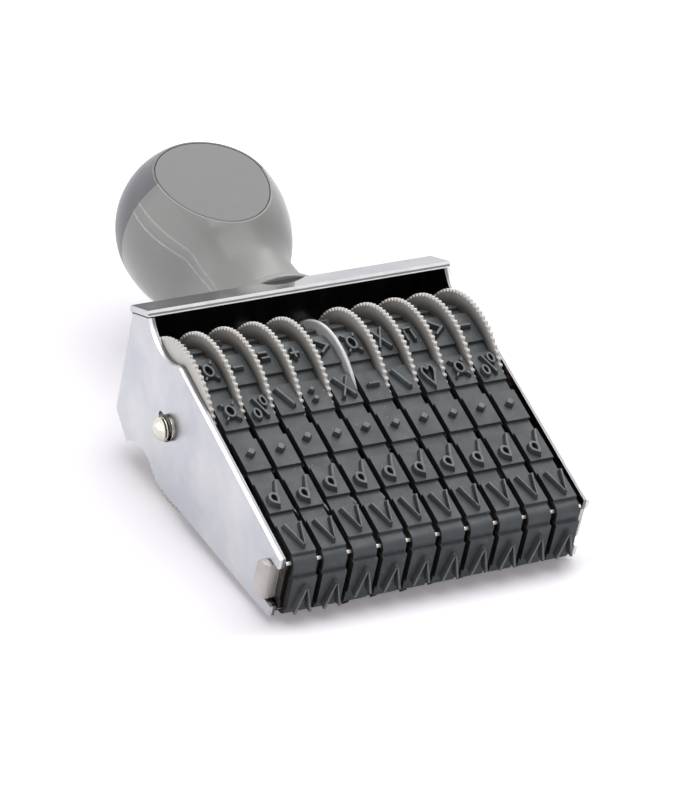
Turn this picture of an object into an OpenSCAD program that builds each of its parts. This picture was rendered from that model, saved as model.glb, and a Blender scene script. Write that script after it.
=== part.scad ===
// Ten band hand numbering stamp, laid down on its wheels and its print end.
// Each piece is drawn upright: X across, -Y the band side, +Z up to the handle, foot of the plates at 0.

/* [Bands and wheels] */
// Distance from one band to the next
band_pitch = 6.9; // [6.75:0.05:8]
// Width of a band's pads
pad_w = 5.65; // [5:0.05:5.7]
// Width of the thin strips between the pads
strip_w = 5.45; // [4.6:0.05:5.5]
// Thickness of the rubber web
web_t = 1.1; // [0.9:0.05:1.2]
// Height of a pad over the web
pad_t = 0.8; // [0.6:0.05:1]
// Length of a pad along the band
pad_len = 8.3; // [7:0.1:9]
// Height of the raised signs, which the lying stamp leaves room for
type_h = 1.3; // [1:0.1:1.5]
// Radius of the wheel drums under the bands
drum_r = 13.5; // [12.5:0.1:14]
// Radius over the knurled wheel rims
wheel_r = 19.3; // [18.5:0.1:20.5]
// Radius of the plain disc in the middle
divider_r = 17.7; // [17:0.1:18.4]
// Thickness of a wheel rim and of the disc
rim_t = 0.9; // [0.7:0.05:0.95]
// Number of knurls round a wheel
knurls = 80; // [60:1:90]

/* [Frame] */
// Thickness of the sheet metal
sheet_t = 1.4; // [1:0.05:1.5]
// Height of the axle over the foot
axle_h = 52.7; // [50:0.1:58]
// Half of the foot's depth
foot_half = 7.75; // [7.2:0.05:8.5]
// Distance from the axle up to the top plate's underside
top_over_axle = 23.35; // [22:0.1:26]
// Half of the top plate's depth at the sides
top_half = 13.3; // [13:0.1:14]
// Half depth over the corners where the lips end
corner_half = 17.2; // [16.8:0.1:17.8]
// Drop from the top plate's underside to those corners
corner_drop = 6.9; // [6:0.1:7.5]
// Radius of the four thumb recesses
recess_r = 10.8; // [9.5:0.1:12]

/* [Print bar] */
// Half of the print bar's depth
bar_half = 6.5; // [6:0.05:6.8]
// Width of the claws that hook round the plates
claw_w = 9.2; // [8:0.1:10]
// Height of the claw tips over the foot
claw_top = 5.6; // [5.4:0.1:8]

/* [Axle] */
// Radius of the axle
axle_r = 2.6; // [2:0.1:3]
// How far the axle stands out of each plate
axle_out = 3.5; // [3.4:0.1:4.5]

/* [Handle] */
// Radius of the ball
ball_r = 19.5; // [18.5:0.1:20.5]
// Height of the ball's centre over the top plate
ball_h = 38; // [37:0.1:40]
// Radius of the neck
neck_r = 11.85; // [11.3:0.05:12.3]
// Height of the neck's waist over the top plate
neck_h = 13.4; // [12:0.1:14.5]
// Radius of the belly between ball and neck
belly_r = 30.5; // [28:0.5:33]
// Radius of the foot flange
flange_r = 15.1; // [14.8:0.1:16]
// Height of the foot flange, whose edge is a quarter round
flange_h = 3.4; // [2.6:0.1:3.6]
// Distance of the badge's flat from the handle's axis
badge_flat = 14.3; // [14:0.1:15.2]
// Width of the rim left round the badge
badge_rim = 0.45; // [0.4:0.05:1]
// Wall of the moulded handle
wall_t = 2.4; // [2:0.1:2.8]

/* [Hidden] */
$fn = 96;

// Gaps: between turning and still pieces, of the bore on the axle, and between seated pieces
free_gap = 0.3;
bore_gap = 0.05;
seat_gap = 0.05;

// Frame sizes that follow from the bands
band_count = 10;
side_play = 0.3;
inner_half = band_count / 2 * band_pitch + rim_t / 2 + side_play;
outer_half = inner_half + sheet_t;
bend_r = 2;
top_z = axle_h + top_over_axle;
deck_z = top_z + sheet_t;
corner_z = top_z - corner_drop;
axle_hole_r = axle_r + 0.15;
key_r = 1.2;
key_rise = 3.9;
lip_seam = 0.25;
// Half width of the deck's flat, short of the bends
flat_half_x = outer_half - bend_r - lip_seam;

// Bands: the line under the rubber runs from the drum to the rounded edges of the print bar
cells = 14;
line_r = drum_r + free_gap;
bar_edge_r = 0.8;
bar_z = -0.2;
edge_y = bar_half - bar_edge_r;
edge_z = bar_z + bar_edge_r;
edge_to_axle = sqrt(edge_y * edge_y + (axle_h - edge_z) * (axle_h - edge_z));
run_lean = asin((line_r - bar_edge_r) / edge_to_axle) - atan(edge_y / (axle_h - edge_z));
run_len = sqrt(edge_to_axle * edge_to_axle - (line_r - bar_edge_r) * (line_r - bar_edge_r));
band_t = web_t + pad_t;
edge_arc = bar_edge_r * PI * (90 - run_lean) / 180;
drum_arc = line_r * PI * (180 + 2 * run_lean) / 180;
loop_len = 2 * (edge_y + edge_arc + run_len) + drum_arc;
cell_len = loop_len / cells;
strip_len = cell_len - pad_len;
run_start = edge_y + edge_arc;
run_end = run_start + run_len;
arc_end = run_end + drum_arc;
// How far each band has crept round from its place, as the bands of a used stamp do
creep = [-0.8, -0.9, 0.7, 0.3, 0.5, 0.1, 0.2, -0.1, 0.1, -0.2];

// Wheels
knurl_depth = 0.6;
knurl_root = 0.34;
knurl_tip = 0.17;
rim_root_r = wheel_r - knurl_depth;
drum_len = band_pitch - rim_t - free_gap;
hub_r = 5;
drum_wall = 1.8;
web_plate = 1.2;

// Print bar
bar_t = 1.2;
bar_wall_z = 7;
claw_t = 1.5;
claw_z = 2;
claw_gap = 0.15;
claw_play = 0.6;
tip_r = 2;

// Axle ends
dome_h = 1.6;
neck_w = 0.4;
groove_w = 0.9;
groove_r = 2.05;
groove_at = 0.3;
clip_w = 0.7;
clip_r = 3;
clip_mouth = 2.6;

// Handle
ball_z = deck_z + ball_h;
waist_z = deck_z + neck_h;
parting_z = ball_z + 0.4;
belly_y = ball_r - belly_r;
// Radius of the hollow between belly and waist, from the two touching circles
hollow_dz = ball_z - waist_z;
hollow_dx = neck_r - belly_y;
hollow_r = (hollow_dx * hollow_dx + hollow_dz * hollow_dz - belly_r * belly_r) / (2 * (belly_r - hollow_dx));
// Radius of the shallow curve from the waist down to the flange
flare_r = 45;
badge_t = 1.5;
badge_seam = 0.1;
spigot_len = 3;
spigot_r = ball_r - wall_t - 0.2;
cap_step = 2;
screw_x = 7;
screw_r = 1.75;
screw_head_r = 3.4;
screw_head_h = 2.2;
cross_len = 4;
cross_w = 0.8;
screw_len = 12;
boss_r = 3.8;
boss_top = 15;

// Rest pose: the wheel rims and the signs at the print end's lower edge touch the ground
foot_y = edge_y + (bar_edge_r + band_t + type_h) * cos(run_lean) + sin(run_lean);
foot_z = edge_z - (bar_edge_r + band_t + type_h) * sin(run_lean) + cos(run_lean);
foot_to_axle = sqrt(foot_y * foot_y + (axle_h - foot_z) * (axle_h - foot_z));
rest_lean = asin(wheel_r / foot_to_axle) - atan(foot_y / (axle_h - foot_z));
back_end = ball_z * cos(rest_lean) + ball_r;
front_end = -(pad_len / 2 + max(creep)) * sin(rest_lean) + (bar_z - band_t) * cos(rest_lean);

// Lays an upright piece down on its wheels, centred over the origin
module laid_down() {
    translate([0, -(back_end + front_end) / 2, wheel_r - axle_h * sin(rest_lean)])
        rotate([rest_lean - 90, 0, 0])
            children();
}

// Extrudes a side view, drawn in Y and Z, from x0 to x1
module across(x0, x1) {
    translate([x0, 0, 0])
        rotate([90, 0, 90])
            linear_extrude(x1 - x0)
                children();
}

// Extrudes a front view, drawn in X and Z, by y0 to either side
module in_depth(y0) {
    translate([0, y0, 0])
        rotate([90, 0, 0])
            linear_extrude(2 * y0)
                children();
}

// Turns a profile, drawn as radius and X, round the wheel axis
module on_axle(x) {
    translate([x, 0, axle_h])
        rotate([0, 90, 0])
            rotate_extrude()
                children();
}

module both_sides() {
    children();
    mirror([1, 0, 0]) children();
}

module band_and_back() {
    children();
    mirror([1, 0]) children();
}

// One of the two points where two circles meet, on the side of larger y
function meet(a, ra, b, rb) =
    let (d = norm(b - a), u = (b - a) / d, h = (d * d + ra * ra - rb * rb) / (2 * d))
    a + u * h + [u[1], -u[0]] * sqrt(ra * ra - h * h);

// Side view of a plate: tapered legs, a rounded shoulder, a thumb recess and a chamfered top corner.
// The lip of the band side lies over the plates, so their edge there stays back by the seam
shoulder_r = 3;
shoulder_drop = 0.3;
deck_in = 1;
lip_root = 2.5;
// Depth by which curves that run into each other bite, so that they meet in a real corner
bite = 0.01;
leg_lean = 8.95;
leg_n = [cos(leg_lean), -sin(leg_lean)];
leg_d = [sin(leg_lean), cos(leg_lean)];
leg_len = (axle_h - shoulder_drop) / cos(leg_lean);
shoulder_out = [foot_half, 0] + leg_d * leg_len;
shoulder_mid = shoulder_out - leg_n * (shoulder_r - bite);
corner = [corner_half, corner_z];
top_edge = [top_half, top_z];
lip_d = (top_edge - corner) / norm(top_edge - corner);
lip_n = [lip_d[1], -lip_d[0]];
recess_mid = meet(shoulder_mid, shoulder_r + recess_r - bite, corner, recess_r);
recess_in = shoulder_mid + (recess_mid - shoulder_mid) * shoulder_r / (shoulder_r + recess_r - bite);

module plate_half(seam) {
    difference() {
        union() {
            polygon([[0, 0], [foot_half, 0], shoulder_out, shoulder_mid, recess_in,
                corner - lip_d - lip_n * seam, top_edge - lip_n * seam, [top_half - deck_in, deck_z], [0, deck_z]]);
            translate(shoulder_mid) circle(shoulder_r);
        }
        translate(recess_mid) circle(recess_r);
    }
}

module plate_outline() {
    difference() {
        union() {
            plate_half(0);
            mirror([1, 0]) plate_half(lip_seam);
        }
        translate([0, axle_h]) circle(axle_hole_r);
        translate([0, axle_h + key_rise]) circle(key_r);
        translate([-key_r, axle_h]) square([2 * key_r, key_rise]);
        translate([-claw_w / 2 - claw_play, -1]) square([claw_w + 2 * claw_play, claw_z + claw_t + seat_gap + 1]);
    }
}

// Front view of the bent sheet: two legs and a top plate with rounded bends
module sheet_section() {
    inner_r = bend_r - sheet_t;
    difference() {
        union() {
            translate([-outer_half, -1]) square([2 * outer_half, deck_z - bend_r + 1]);
            translate([-outer_half + bend_r, 0]) square([2 * (outer_half - bend_r), deck_z]);
            for (s = [-1, 1]) translate([s * (outer_half - bend_r), deck_z - bend_r]) circle(bend_r);
        }
        translate([-inner_half, -2]) square([2 * inner_half, top_z - inner_r + 2]);
        translate([-inner_half + inner_r, 0]) square([2 * (inner_half - inner_r), top_z]);
        for (s = [-1, 1]) translate([s * (inner_half - inner_r), top_z - inner_r]) circle(inner_r);
    }
}

// Side view of a lip, bent down from the deck over the chamfered corners, its inner face set in by e
module lip_outline(e) {
    low = corner + lip_n * (sheet_t - e);
    deck_y = low[0] + (deck_z - low[1]) * lip_d[0] / lip_d[1];
    polygon([corner - lip_n * e, top_edge - lip_n * e, [top_half - lip_root, top_z],
        [top_half - lip_root, deck_z], [deck_y, deck_z], low]);
}

// The band side's lip reaches over the plates' edges
module long_lip() {
    across(-flat_half_x, flat_half_x) lip_outline(0);
    across(-outer_half, outer_half) intersection() {
        lip_outline(0);
        translate([top_half - deck_in / 2, 0]) square([corner_half, deck_z + 1]);
    }
}

module frame() laid_down() color("lightsteelblue") difference() {
    union() {
        intersection() {
            in_depth(corner_half + 2) sheet_section();
            across(-outer_half - 1, outer_half + 1) plate_outline();
        }
        rotate([0, 0, 180]) long_lip();
        across(-flat_half_x, flat_half_x) lip_outline(sheet_t);
    }
    for (s = [-1, 1]) translate([s * screw_x, 0, top_z - 1]) cylinder(r = screw_r + 0.15, h = sheet_t + 2);
}

// Everything within e outside the line under the rubber, in side view
module loop_area(e) {
    n = [cos(run_lean), -sin(run_lean)];
    low = [edge_y, edge_z] + n * (bar_edge_r + e);
    high = [0, axle_h] + n * (line_r + e);
    translate([0, axle_h]) circle(line_r + e);
    band_and_back() translate([edge_y, edge_z]) circle(bar_edge_r + e);
    band_and_back() polygon([[0, bar_z - e], [edge_y, bar_z - e], low, high, [0, high[1]]]);
}

// Half depth at height z of the straight runs, e outside the line under the rubber
function run_y(z, e) = edge_y + (bar_edge_r + e) / cos(run_lean) + (z - edge_z) * tan(run_lean);

// Moves a shape, drawn with the band along X and outward along Y, to the place s round the loop
module at_loop(s) {
    if (s < run_end)
        translate([-edge_y, edge_z])
            rotate(90 + run_lean)
                translate([s - run_start, bar_edge_r])
                    children();
    else if (s < arc_end)
        translate([0, axle_h])
            rotate(180 + run_lean - (s - run_end) / line_r * 180 / PI)
                rotate(-90)
                    translate([0, line_r])
                        children();
    else
        mirror([1, 0]) at_loop(loop_len - s) children();
}

// The gaps between the pads, cut through to leave the narrower strips
module pad_gaps(shift) {
    for (k = [1 : cells - 2]) at_loop((k + 0.5) * cell_len + shift)
        translate([-strip_len / 2, -1]) square([strip_len, band_t + 2]);
    for (side = [-1, 1]) {
        start = pad_len / 2 + side * shift;
        rise = edge_z + start + strip_len - run_start;
        mirror([side > 0 ? 1 : 0, 0])
            translate([start, bar_z - band_t - 1]) square([20, rise - bar_z + band_t + 1]);
    }
}

module band(i) laid_down() color("slategray") {
    x = (i - (band_count + 1) / 2) * band_pitch;
    across(x - strip_w / 2, x + strip_w / 2) difference() {
        loop_area(web_t);
        loop_area(0);
    }
    across(x - pad_w / 2, x + pad_w / 2) difference() {
        loop_area(band_t);
        loop_area(0);
        pad_gaps(creep[i - 1]);
    }
}

// Print bar: a channel that fills the lower end of the bands, with a claw at each end
module bar_outline() {
    difference() {
        intersection() {
            loop_area(-seat_gap);
            translate([-2 * bar_half, -1]) square([4 * bar_half, bar_wall_z + 1]);
        }
        bar_inside = bar_z + seat_gap + bar_t;
        polygon([for (e = [[1, bar_inside], [1, bar_wall_z + 1], [-1, bar_wall_z + 1], [-1, bar_inside]])
            [e[0] * run_y(e[1], -seat_gap - bar_t), e[1]]]);
    }
}

module claw_section() {
    bar_end = inner_half - free_gap;
    claw_in = outer_half + claw_gap;
    step_z = claw_z + claw_t;
    translate([bar_end - bar_t, bar_z + seat_gap]) square([bar_t, step_z - bar_z - seat_gap]);
    translate([bar_end - bar_t, claw_z]) square([claw_in - bar_end + bar_t, claw_t]);
    translate([claw_in, step_z]) square([claw_t, claw_top - step_z]);
    intersection() {
        translate([claw_in, step_z]) circle(claw_t);
        translate([claw_in, claw_z]) square(claw_t);
    }
}

module claw_side() {
    translate([-claw_w / 2, bar_z - 1]) square([claw_w, claw_top - tip_r - bar_z + 1]);
    translate([-claw_w / 2 + tip_r, 0]) square([claw_w - 2 * tip_r, claw_top]);
    band_and_back() translate([claw_w / 2 - tip_r, claw_top - tip_r]) circle(tip_r);
}

module print_bar() laid_down() color("tan") {
    across(-inner_half + free_gap, inner_half - free_gap) bar_outline();
    both_sides() intersection() {
        in_depth(claw_w) claw_section();
        across(inner_half - 3, outer_half + 4) claw_side();
    }
}

// Axle with a domed end, a narrow neck behind the dome and a clip groove outside each plate
module axle_end() {
    plate = outer_half;
    tip = plate + axle_out;
    dome_r = (axle_r * axle_r + dome_h * dome_h) / (2 * dome_h);
    difference() {
        square([axle_r, tip - dome_h]);
        translate([groove_r, plate + groove_at]) square([axle_r, groove_w]);
        translate([groove_r, tip - dome_h - neck_w]) square([axle_r, neck_w]);
    }
    intersection() {
        translate([0, tip - dome_r]) circle(dome_r);
        translate([0, tip - dome_h]) square([axle_r, dome_h]);
    }
}

module axle() laid_down() color("khaki") {
    on_axle(0) {
        axle_end();
        mirror([0, 1]) axle_end();
    }
}

// Open spring clip in the axle's groove
module axle_clip(side) laid_down() color("gray") difference() {
    mid = side * (outer_half + groove_at + groove_w / 2);
    on_axle(mid) translate([groove_r + seat_gap, -clip_w / 2]) square([clip_r - groove_r - seat_gap, clip_w]);
    translate([mid - clip_w, -clip_mouth / 2, axle_h - clip_r - 1]) cube([2 * clip_w, clip_mouth, clip_r + 1]);
}

// Knurled rim: flat topped teeth round the wheel
module knurled_rim() {
    step = 360 / knurls;
    polygon([for (k = [0 : knurls - 1])
        for (c = [[-knurl_root, 0], [-knurl_tip, 1], [knurl_tip, 1], [knurl_root, 0]])
            let (a = (k + c[0]) * step, r = rim_root_r + c[1] * knurl_depth)
            [r * cos(a), r * sin(a)]]);
}

// Wheel with its rim at x = 0 and its drum reaching to +X, hollow from the open side
module wheel_blank() {
    difference() {
        union() {
            translate([-rim_t / 2, 0, 0]) rotate([90, 0, 90]) linear_extrude(rim_t) knurled_rim();
            rotate([0, 90, 0]) cylinder(r = drum_r, h = rim_t / 2 + drum_len);
        }
        translate([-rim_t, 0, 0]) rotate([0, 90, 0]) cylinder(r = axle_r + bore_gap, h = 2 * band_pitch);
        translate([rim_t / 2 + web_plate, 0, 0]) rotate([0, 90, 0]) difference() {
            cylinder(r = drum_r - drum_wall, h = band_pitch);
            translate([0, 0, -1]) cylinder(r = hub_r, h = band_pitch + 2);
        }
    }
}

module wheel(i) laid_down() color("linen") {
    if (i <= band_count / 2) translate([(i - 1 - band_count / 2) * band_pitch, 0, axle_h]) wheel_blank();
    else translate([(i - band_count / 2) * band_pitch, 0, axle_h]) mirror([1, 0, 0]) wheel_blank();
}

module divider_disc() laid_down() color("white") {
    on_axle(0) difference() {
        union() {
            translate([0, -rim_t / 2]) square([divider_r - rim_t / 2, rim_t]);
            translate([divider_r - rim_t / 2, 0]) circle(rim_t / 2);
        }
        translate([0, -rim_t]) square([axle_r + bore_gap, 2 * rim_t]);
    }
}

// Half profile of the handle, as radius and height, thinned by t: flange, flare, waist, belly and ball
module core(r, z) translate([0, z - 1]) square([r - 1, 2]);

module flare_profile(t) {
    difference() {
        translate([0, deck_z]) square([neck_r + flare_r / 4, waist_z - deck_z]);
        translate([neck_r + flare_r, waist_z]) circle(flare_r + t);
    }
    core(neck_r - t, waist_z);
}

module foot_flange() rotate_extrude() {
    core_r = flange_r - flange_h;
    translate([0, deck_z]) square([core_r, flange_h]);
    intersection() {
        translate([core_r, deck_z]) circle(flange_h);
        translate([core_r - 0.5, deck_z]) square(flange_h + 1);
    }
}

module belly_profile(t) {
    steps = 10;
    join_a = asin(hollow_dz / (belly_r + hollow_r));
    arc = [for (k = [0 : steps]) let (a = join_a * k / steps)
        [belly_y + (belly_r - t) * cos(a), ball_z - (belly_r - t) * sin(a)]];
    join = arc[steps];
    difference() {
        translate([0, waist_z]) square([join[0], join[1] - waist_z]);
        translate([neck_r + hollow_r, waist_z]) circle(hollow_r + t);
    }
    core(join[0] - 1, join[1]);
    polygon([[0, join[1]], [0, ball_z], for (p = arc) p]);
    core(ball_r - t, ball_z);
}

module ball_profile(t) {
    intersection() {
        translate([0, ball_z]) circle(ball_r - t);
        translate([0, ball_z]) square(ball_r);
    }
}

module handle_solid(t) rotate_extrude() {
    flare_profile(t);
    belly_profile(t);
    ball_profile(t);
}

module below(z) translate([-2 * ball_r, -2 * ball_r, z - 6 * ball_r]) cube([4 * ball_r, 4 * ball_r, 6 * ball_r]);

// Cuts away what lies d in front of the handle's axis, from the waist up
module flat_cut(d) translate([-2 * ball_r, -d - 2 * ball_r, waist_z]) cube([4 * ball_r, 2 * ball_r, 4 * ball_r]);

// Outline of the badge: half of a disc above the ball's middle, an egg's long end below it
function flat_half(z) = z > ball_z ? sqrt(ball_r * ball_r - (z - ball_z) * (z - ball_z))
    : belly_y + sqrt(belly_r * belly_r - (z - ball_z) * (z - ball_z));
badge_top = sqrt(ball_r * ball_r - badge_flat * badge_flat);
badge_low = sqrt(belly_r * belly_r - (badge_flat - belly_y) * (badge_flat - belly_y));
module badge_outline(e) {
    n = 30;
    top = badge_top - e;
    low = badge_low - e;
    side = [for (k = [0 : n]) let (a = 90 - 180 * k / n, z = sin(a) * (a > 0 ? badge_top : badge_low),
        h = flat_half(ball_z + z))
        [sqrt(max(0, h * h - badge_flat * badge_flat)) * (badge_top - e) / badge_top, sin(a) * (a > 0 ? top : low)]];
    polygon([for (p = side) p, for (k = [n - 1 : -1 : 1]) [-side[k][0], side[k][1]]]);
}

module badge_slab(e, y, t) translate([0, y, ball_z]) rotate([90, 0, 0]) linear_extrude(t) badge_outline(e);

module badge_recess() badge_slab(badge_rim, badge_t - badge_flat, badge_t + 5);

module handle_outside() {
    intersection() {
        handle_solid(0);
        below(parting_z);
    }
    foot_flange();
}

module handle_hollow() difference() {
    handle_solid(wall_t);
    below(deck_z + wall_t);
    flat_cut(badge_flat - badge_t - wall_t);
}

module handle_body() laid_down() color("darkgray") difference() {
    union() {
        difference() {
            handle_outside();
            handle_hollow();
        }
        for (s = [-1, 1]) translate([s * screw_x, 0, deck_z + 0.5]) cylinder(r = boss_r, h = boss_top - 0.5);
    }
    flat_cut(badge_flat);
    badge_recess();
    for (s = [-1, 1]) translate([s * screw_x, 0, deck_z - 1]) cylinder(r = screw_r + seat_gap, h = screw_len + 1.5);
}

// Dark dome over the ball, with a spigot that plugs into the body
module spigot(r, z0, z1, flat) difference() {
    translate([0, 0, z0]) cylinder(r = r, h = z1 - z0);
    flat_cut(flat);
}

module handle_cap() laid_down() color("dimgray") difference() {
    union() {
        difference() {
            rotate_extrude() ball_profile(0);
            below(parting_z + seat_gap);
        }
        spigot(spigot_r, parting_z - spigot_len, parting_z + cap_step, badge_flat - badge_t - wall_t - seat_gap);
    }
    difference() {
        rotate_extrude() ball_profile(wall_t);
        below(parting_z + cap_step);
        flat_cut(badge_flat - badge_t - wall_t);
    }
    spigot(spigot_r - wall_t, parting_z - spigot_len - 1, parting_z + cap_step + 1,
        badge_flat - badge_t - 2 * wall_t);
    flat_cut(badge_flat);
    badge_recess();
}

module handle_badge() laid_down() color("silver")
    badge_slab(badge_rim + badge_seam, badge_t - badge_flat - seat_gap, badge_t);

// Two pan head screws through the top plate into the handle
module handle_screws() laid_down() color("gainsboro") {
    for (s = [-1, 1]) translate([s * screw_x, 0, top_z - seat_gap]) {
        cylinder(r = screw_r, h = screw_len);
        difference() {
            translate([0, 0, -screw_head_h]) cylinder(r = screw_head_r, h = screw_head_h);
            for (turn = [0, 90]) rotate(turn) translate([-cross_len / 2, -cross_w / 2, -screw_head_h - 1])
                cube([cross_len, cross_w, 2]);
        }
    }
}

frame();
print_bar();
axle();
axle_clip(-1);  // axle_clip_left
axle_clip(1);  // axle_clip_right
wheel(1);  // wheel_01
wheel(2);  // wheel_02
wheel(3);  // wheel_03
wheel(4);  // wheel_04
wheel(5);  // wheel_05
wheel(6);  // wheel_06
wheel(7);  // wheel_07
wheel(8);  // wheel_08
wheel(9);  // wheel_09
wheel(10);  // wheel_10
divider_disc();
band(1);  // band_01
band(2);  // band_02
band(3);  // band_03
band(4);  // band_04
band(5);  // band_05
band(6);  // band_06
band(7);  // band_07
band(8);  // band_08
band(9);  // band_09
band(10);  // band_10
handle_body();
handle_cap();
handle_badge();
handle_screws();
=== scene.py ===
# Dresses the ten band numbering stamp: signs on the bands, softened edges, finishes, light and camera.
# Lengths are in millimetres in the upright stamp, as in the part's source. LAID_DOWN turns them into
# metres in the frame, where the stamp lies down. Floor and lamps are placed in metres there.

import math
import bpy
import bmesh
from mathutils import Matrix, Vector


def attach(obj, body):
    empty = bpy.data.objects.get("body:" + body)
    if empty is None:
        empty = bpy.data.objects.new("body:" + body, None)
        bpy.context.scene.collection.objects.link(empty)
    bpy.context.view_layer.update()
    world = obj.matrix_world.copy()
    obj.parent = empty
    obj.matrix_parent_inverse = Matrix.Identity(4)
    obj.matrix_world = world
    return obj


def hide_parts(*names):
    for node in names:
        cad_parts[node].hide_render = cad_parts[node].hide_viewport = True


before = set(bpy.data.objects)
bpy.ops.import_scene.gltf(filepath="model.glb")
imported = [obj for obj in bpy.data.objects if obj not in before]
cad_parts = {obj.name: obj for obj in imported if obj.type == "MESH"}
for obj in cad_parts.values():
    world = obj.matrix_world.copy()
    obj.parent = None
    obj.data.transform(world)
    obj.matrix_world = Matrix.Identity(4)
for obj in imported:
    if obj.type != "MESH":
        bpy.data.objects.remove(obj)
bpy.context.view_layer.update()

BODY = "stamp"  # the frame and all that doesn't turn
MM = 0.001  # a millimetre in metres

# The stamp's own sizes
BAND_PITCH = 6.9
BAND_COUNT = 10
CELLS = 14  # pads on one band, with a sign on each
PAD_LEN = 8.3
PAD_TOP = 1.9  # from a band's inner face to the top of its pads
TYPE_TALL = 1.3  # from the top of a pad to the crest of a plain sign
AXLE_H = 52.7
WHEEL_R = 19.3
LINE_R = 13.8  # inner face of a band on its drum
BAR_Z = -0.2  # lower face of the print bar
EDGE_R = 0.8  # radius of the print bar's lower corners, and the place of its centre
EDGE_Y = 5.7
EDGE_Z = 0.6
SHEET_T = 1.4
INNER_HALF = 35.25  # from the middle to the inner face of a side plate
TOP_Z = AXLE_H + 23.35  # lower face of the frame's deck
BALL_Z = TOP_Z + SHEET_T + 38
BALL_R = 19.5
FOOT_RISE = 1.0  # from the bar's round up the run to the signs that the stamp lies on

# How far each band is shifted along its run
CREEP = (-0.8, -0.9, 0.7, 0.3, 0.5, 0.1, 0.2, -0.1, 0.1, -0.2)

# The loop of a band: flat under the print bar, round its corners, straight up and round the drum
to_axle = math.hypot(EDGE_Y, AXLE_H - EDGE_Z)
RUN_LEAN = math.asin((LINE_R - EDGE_R) / to_axle) - math.atan(EDGE_Y / (AXLE_H - EDGE_Z))
RUN_LEN = math.sqrt(to_axle ** 2 - (LINE_R - EDGE_R) ** 2)
RUN_START = EDGE_Y + EDGE_R * (math.pi / 2 - RUN_LEAN)
RUN_END = RUN_START + RUN_LEN
LOOP_LEN = 2 * RUN_END + LINE_R * (math.pi + 2 * RUN_LEAN)
CELL_LEN = LOOP_LEN / CELLS

# It lies on its wheel rims and on the signs at the lower edge of the print end
type_out = EDGE_R + PAD_TOP + TYPE_TALL
foot_y = EDGE_Y + type_out * math.cos(RUN_LEAN) + FOOT_RISE * math.sin(RUN_LEAN)
foot_z = EDGE_Z - type_out * math.sin(RUN_LEAN) + FOOT_RISE * math.cos(RUN_LEAN)
to_foot = math.hypot(foot_y, AXLE_H - foot_z)
LEAN = math.asin(WHEEL_R / to_foot) - math.atan(foot_y / (AXLE_H - foot_z))
back_end = BALL_Z * math.cos(LEAN) + BALL_R
front_end = -(PAD_LEN / 2 + max(CREEP)) * math.sin(LEAN) + (BAR_Z - PAD_TOP) * math.cos(LEAN)

LAID_DOWN = (
    Matrix.Scale(MM, 4)
    @ Matrix.Translation((0, -(back_end + front_end) / 2, WHEEL_R - AXLE_H * math.sin(LEAN)))
    @ Matrix.Rotation(LEAN - math.pi / 2, 4, "X")
)
UPRIGHT = LAID_DOWN.inverted()
AXLE_AT = LAID_DOWN @ Vector((0, 0, AXLE_H))


def laid_direction(direction):
    """A direction of the upright stamp, as it points in the frame."""
    return (LAID_DOWN.to_3x3() @ Vector(direction)).normalized()


# Small helpers for meshes

def put_in_scene(name, data):
    thing = bpy.data.objects.new(name, data)
    bpy.context.scene.collection.objects.link(thing)
    return thing


def join(whole, part):
    """Move all of one bmesh into another."""
    mesh = bpy.data.meshes.new("joined_part")
    part.to_mesh(mesh)
    part.free()
    whole.from_mesh(mesh)
    bpy.data.meshes.remove(mesh)


def make_piece(name, bm, materials, smooth_angle):
    """Turn a bmesh into a piece that is shaded smooth up to an angle in degrees."""
    mesh = bpy.data.meshes.new(name)
    bm.to_mesh(mesh)
    bm.free()
    for material in materials:
        mesh.materials.append(material)
    mesh.polygons.foreach_set("use_smooth", [True] * len(mesh.polygons))
    mesh.set_sharp_from_angle(angle=math.radians(smooth_angle))
    return put_in_scene(name, mesh)


def soften(node, name, material, width, segments=2, smooth_angle=30, body=BODY, others=()):
    """Put a copy of a CAD node in its place, with a bevel of the given width on its sharp edges.

    An edge is sharp where its faces meet at more than smooth_angle. others holds further finishes,
    each with the test that says which faces take it.
    """
    bm = bmesh.new()
    bm.from_mesh(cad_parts[node].data)
    bmesh.ops.remove_doubles(bm, verts=bm.verts, dist=1e-6)
    bmesh.ops.dissolve_limit(
        bm, angle_limit=math.radians(0.5), verts=bm.verts, edges=bm.edges, delimit={"NORMAL"},
    )
    for face in bm.faces:
        outward = (UPRIGHT.to_3x3() @ face.normal).normalized()
        middle = UPRIGHT @ face.calc_center_median()
        for slot, (other, takes) in enumerate(others, 1):
            if takes(middle, outward):
                face.material_index = slot
    piece = make_piece(name, bm, [material] + [other for other, takes in others], smooth_angle)
    edge = piece.modifiers.new("broken_edges", "BEVEL")
    edge.width = width * MM
    edge.segments = segments
    edge.limit_method = "ANGLE"
    edge.angle_limit = math.radians(smooth_angle)
    edge.use_clamp_overlap = True
    edge.harden_normals = True
    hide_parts(node)
    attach(piece, body)
    return piece


# Small helpers for shader nodes. One that adds a node gives back what comes out of it.

def feed(tree, socket, value):
    """Link a socket to another node's output, or give it a plain value."""
    if isinstance(value, bpy.types.NodeSocket):
        tree.links.new(value, socket)
    else:
        socket.default_value = value


def math_node(tree, operation, *values):
    node = tree.nodes.new("ShaderNodeMath")
    node.operation = operation
    for socket, value in zip(node.inputs, values):
        feed(tree, socket, value)
    return node.outputs[0]


def mix_colour(tree, mask, clear, full):
    """One colour where the mask is 0 and another where it is 1."""
    node = tree.nodes.new("ShaderNodeMix")
    node.data_type = "RGBA"
    feed(tree, node.inputs[0], mask)
    feed(tree, node.inputs[6], clear)
    feed(tree, node.inputs[7], full)
    return node.outputs[2]


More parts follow.
